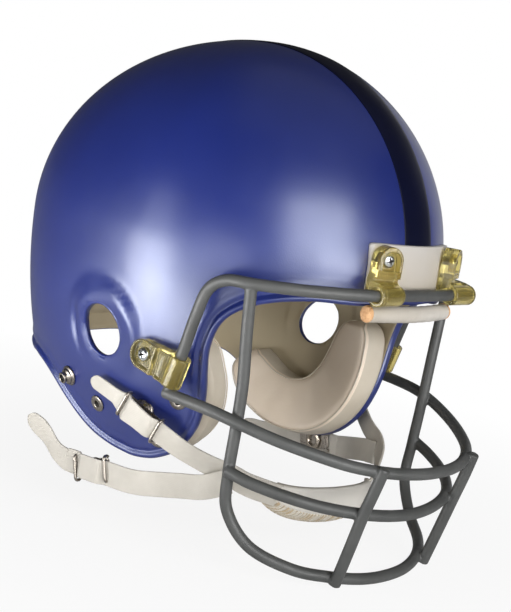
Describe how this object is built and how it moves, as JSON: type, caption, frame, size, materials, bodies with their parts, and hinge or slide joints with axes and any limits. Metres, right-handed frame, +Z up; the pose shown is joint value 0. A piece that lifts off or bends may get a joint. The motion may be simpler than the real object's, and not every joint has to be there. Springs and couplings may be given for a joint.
{
  "type": "football helmet",
  "caption": "Gridiron helmet with a one-piece shell, inner pads, a bolted wire face guard and a padded chin strap on snap studs with sliding buckles.",
  "frame": {"origin": "midway between the centres of the two ear holes", "axes": "+Z up, the face looks along -Y, the wearer's left side is at +X"},
  "size_m": [0.2326, 0.3253, 0.3108],
  "materials": {
    "shell_blue": "satin gloss moulded shell",
    "stripe_navy": "thin satin tape",
    "bumper_cream": "smooth moulded",
    "roll_vinyl": "soft vinyl",
    "foam_peach": "open cell foam",
    "liner_pad": "vinyl covered foam",
    "jaw_vinyl": "vinyl covered foam",
    "nickel": "nickel plated",
    "snap_dark": "dark nickel socket",
    "steel": "zinc plated",
    "guard_grey": "thick satin coating",
    "clip_amber": "translucent moulded",
    "cup_vinyl": "stitched vinyl",
    "cup_foam": "soft foam lining",
    "strap_web": "woven webbing with coating"
  },
  "bodies": {
    "helmet": {"shell": "shell_blue", "centre_stripe": "stripe_navy", "front_bumper": "bumper_cream", "brow_roll_cover": "roll_vinyl", "brow_roll_foam": "foam_peach", "front_pad": "liner_pad", "crown_pad": "liner_pad", "rear_pad": "liner_pad", "side_pad_right": "liner_pad", "side_pad_left": "liner_pad", "jaw_pad_right": "jaw_vinyl", "jaw_pad_left": "jaw_vinyl", "jaw_pad_rivets_right": "nickel", "jaw_pad_rivets_left": "nickel", "rear_stud_right": "nickel", "rear_stud_left": "nickel", "upper_stud_right": "nickel", "upper_stud_left": "nickel", "brow_bar": "guard_grey", "upper_bar": "guard_grey", "u_bar": "guard_grey", "front_vertical_right": "guard_grey", "front_vertical_left": "guard_grey", "front_clip_right": "clip_amber", "front_clip_left": "clip_amber", "side_clip_right": "clip_amber", "side_clip_left": "clip_amber", "clip_screws": "nickel", "clip_nuts": "steel", "lower_bar": "guard_grey"},
    "chin_strap": {"chin_cup": "cup_vinyl", "chin_cup_liner": "cup_foam", "upper_strap_right": "strap_web", "upper_strap_left": "strap_web", "upper_buckle_right": "nickel", "upper_buckle_left": "nickel", "upper_snap_right": "snap_dark", "upper_snap_left": "snap_dark"},
    "lower_strap_right": {"lower_strap_right": "strap_web"},
    "lower_strap_left": {"lower_strap_left": "strap_web"},
    "lower_buckle_right": {"lower_buckle_right": "nickel", "lower_snap_right": "snap_dark"},
    "lower_buckle_left": {"lower_buckle_left": "nickel", "lower_snap_left": "snap_dark"}
  },
  "joints": [
    {"name": "chin_strap_swing", "type": "hinge", "parent": "helmet", "child": "chin_strap", "pos_m": [0, -0.034, -0.042], "axis": [1, 0, 0], "range_deg": [-4, 6]},
    {"name": "lower_strap_right_swing", "type": "hinge", "parent": "chin_strap", "child": "lower_strap_right", "pos_m": [-0.0726, -0.0858, -0.0742], "axis": [0, 0, 1], "range_deg": [-1, 14]},
    {"name": "lower_strap_left_swing", "type": "hinge", "parent": "chin_strap", "child": "lower_strap_left", "pos_m": [0.0742, -0.0883, -0.0694], "axis": [0, 0, 1], "range_deg": [-3.5, 0.5]},
    {"name": "lower_buckle_right_slide", "type": "slide", "parent": "lower_strap_right", "child": "lower_buckle_right", "axis": [-0.1081, 0.9941, 0], "range_m": [-0.007, 0.007]},
    {"name": "lower_buckle_left_slide", "type": "slide", "parent": "lower_strap_left", "child": "lower_buckle_left", "axis": [0.0598, 0.9975, -0.0374], "range_m": [-0.007, 0.007]}
  ]
}
